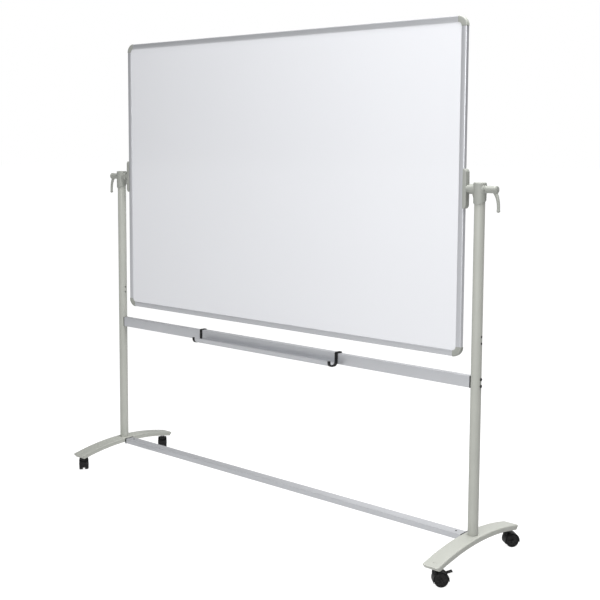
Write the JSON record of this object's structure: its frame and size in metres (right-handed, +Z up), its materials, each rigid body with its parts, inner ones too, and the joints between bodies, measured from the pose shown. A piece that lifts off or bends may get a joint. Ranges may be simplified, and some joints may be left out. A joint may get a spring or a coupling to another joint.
{
  "type": "rolling whiteboard",
  "caption": "Double-sided landscape whiteboard that turns over between round uprights on arched feet with casters, with clamp levers, crossbars and a hooked pen tray.",
  "frame": {"origin": "on the floor, at the middle of the stand's footprint", "axes": "+Z up, +X along the board to the right as seen from the pen tray's side, and the pen tray faces -Y"},
  "size_m": [2.0814, 0.564, 1.947],
  "materials": {
    "painted_steel": "satin",
    "moulded_grey": "satin",
    "aluminium": "satin",
    "bare_steel": "satin",
    "black_steel": "satin",
    "white_enamel": "gloss",
    "honeycomb": "matte",
    "black_plastic": "satin",
    "wheel_black": "matte"
  },
  "bodies": {
    "stand": {"foot_left": "painted_steel", "foot_right": "painted_steel", "upright_left": "painted_steel", "upright_right": "painted_steel", "mid_crossbar": "aluminium", "base_crossbar": "aluminium", "mid_bar_insert_left": "black_plastic", "mid_bar_insert_right": "black_plastic", "base_bar_insert_left": "black_plastic", "base_bar_insert_right": "black_plastic", "mid_bar_bolt_left_lower": "black_steel", "mid_bar_bolt_left_upper": "black_steel", "mid_bar_bolt_right_lower": "black_steel", "mid_bar_bolt_right_upper": "black_steel", "pivot_housing_left": "moulded_grey", "pivot_housing_right": "moulded_grey", "caster_stem_front_left": "bare_steel", "caster_stem_front_right": "bare_steel", "caster_stem_back_left": "bare_steel", "caster_stem_back_right": "bare_steel"},
    "board": {"board_core": "honeycomb", "front_sheet": "white_enamel", "back_sheet": "white_enamel", "frame_rail_top": "aluminium", "frame_rail_bottom": "aluminium", "frame_rail_left": "aluminium", "frame_rail_right": "aluminium", "corner_cap_top_left": "moulded_grey", "corner_cap_top_right": "moulded_grey", "corner_cap_bottom_left": "moulded_grey", "corner_cap_bottom_right": "moulded_grey", "side_bracket_left": "moulded_grey", "side_bracket_right": "moulded_grey", "pivot_spindle_left": "bare_steel", "pivot_spindle_right": "bare_steel"},
    "tray": {"pen_tray": "aluminium", "tray_hook_left": "black_plastic", "tray_hook_right": "black_plastic"},
    "lever_left": {"clamp_lever_left": "moulded_grey", "clamp_stud_left": "bare_steel"},
    "lever_right": {"clamp_lever_right": "moulded_grey", "clamp_stud_right": "bare_steel"},
    "caster_front_left": {"caster_hood_front_left": "black_plastic", "caster_axle_front_left": "bare_steel"},
    "wheel_front_left_a": {"caster_wheel_front_left_a": "wheel_black"},
    "wheel_front_left_b": {"caster_wheel_front_left_b": "wheel_black"},
    "pedal_front_left": {"brake_pedal_front_left": "black_plastic"},
    "caster_front_right": {"caster_hood_front_right": "black_plastic", "caster_axle_front_right": "bare_steel"},
    "wheel_front_right_a": {"caster_wheel_front_right_a": "wheel_black"},
    "wheel_front_right_b": {"caster_wheel_front_right_b": "wheel_black"},
    "pedal_front_right": {"brake_pedal_front_right": "black_plastic"},
    "caster_back_left": {"caster_hood_back_left": "black_plastic", "caster_axle_back_left": "bare_steel"},
    "wheel_back_left_a": {"caster_wheel_back_left_a": "wheel_black"},
    "wheel_back_left_b": {"caster_wheel_back_left_b": "wheel_black"},
    "caster_back_right": {"caster_hood_back_right": "black_plastic", "caster_axle_back_right": "bare_steel"},
    "wheel_back_right_a": {"caster_wheel_back_right_a": "wheel_black"},
    "wheel_back_right_b": {"caster_wheel_back_right_b": "wheel_black"}
  },
  "joints": [
    {"name": "board_tilt", "type": "hinge", "parent": "stand", "child": "board", "pos_m": [0, 0, 1.346], "axis": [1, 0, 0], "continuous": true},
    {"name": "clamp_lever_left", "type": "hinge", "parent": "stand", "child": "lever_left", "pos_m": [-0.96, 0, 1.346], "axis": [-1, 0, 0], "range_deg": [0, 180]},
    {"name": "clamp_lever_right", "type": "hinge", "parent": "stand", "child": "lever_right", "pos_m": [0.96, 0, 1.346], "axis": [1, 0, 0], "range_deg": [0, 180]},
    {"name": "pen_tray_slide", "type": "slide", "parent": "stand", "child": "tray", "axis": [1, 0, 0], "range_m": [-0.51, 0.59]},
    {"name": "caster_swivel_front_left", "type": "hinge", "parent": "stand", "child": "caster_front_left", "pos_m": [-0.96, -0.24, 0.061], "axis": [0, 0, 1], "continuous": true},
    {"name": "wheel_spin_front_left_a", "type": "hinge", "parent": "caster_front_left", "child": "wheel_front_left_a", "pos_m": [-0.97456, -0.22942, 0.02452], "axis": [-0.5878, -0.809, 0], "continuous": true},
    {"name": "wheel_spin_front_left_b", "type": "hinge", "parent": "caster_front_left", "child": "wheel_front_left_b", "pos_m": [-0.97456, -0.22942, 0.02452], "axis": [-0.5878, -0.809, 0], "continuous": true},
    {"name": "brake_pedal_front_left", "type": "hinge", "parent": "caster_front_left", "child": "pedal_front_left", "pos_m": [-0.98974, -0.2184, 0.04463], "axis": [-0.5878, -0.809, 0], "range_deg": [0, 12]},
    {"name": "caster_swivel_front_right", "type": "hinge", "parent": "stand", "child": "caster_front_right", "pos_m": [0.96, -0.24, 0.061], "axis": [0, 0, 1], "continuous": true},
    {"name": "wheel_spin_front_right_a", "type": "hinge", "parent": "caster_front_right", "child": "wheel_front_right_a", "pos_m": [0.97273, -0.22727, 0.02452], "axis": [-0.7071, 0.7071, 0], "continuous": true},
    {"name": "wheel_spin_front_right_b", "type": "hinge", "parent": "caster_front_right", "child": "wheel_front_right_b", "pos_m": [0.97273, -0.22727, 0.02452], "axis": [-0.7071, 0.7071, 0], "continuous": true},
    {"name": "brake_pedal_front_right", "type": "hinge", "parent": "caster_front_right", "child": "pedal_front_right", "pos_m": [0.98599, -0.21401, 0.04463], "axis": [-0.7071, 0.7071, 0], "range_deg": [0, 12]},
    {"name": "caster_swivel_back_left", "type": "hinge", "parent": "stand", "child": "caster_back_left", "pos_m": [-0.96, 0.24, 0.061], "axis": [0, 0, 1], "continuous": true},
    {"name": "wheel_spin_back_left_a", "type": "hinge", "parent": "caster_back_left", "child": "wheel_back_left_a", "pos_m": [-0.97338, 0.25204, 0.02452], "axis": [-0.6691, -0.7431, 0], "continuous": true},
    {"name": "wheel_spin_back_left_b", "type": "hinge", "parent": "caster_back_left", "child": "wheel_back_left_b", "pos_m": [-0.97338, 0.25204, 0.02452], "axis": [-0.6691, -0.7431, 0], "continuous": true},
    {"name": "caster_swivel_back_right", "type": "hinge", "parent": "stand", "child": "caster_back_right", "pos_m": [0.96, 0.24, 0.061], "axis": [0, 0, 1], "continuous": true},
    {"name": "wheel_spin_back_right_a", "type": "hinge", "parent": "caster_back_right", "child": "wheel_back_right_a", "pos_m": [0.97157, 0.25379, 0.02452], "axis": [-0.766, 0.6428, 0], "continuous": true},
    {"name": "wheel_spin_back_right_b", "type": "hinge", "parent": "caster_back_right", "child": "wheel_back_right_b", "pos_m": [0.97157, 0.25379, 0.02452], "axis": [-0.766, 0.6428, 0], "continuous": true}
  ]
}
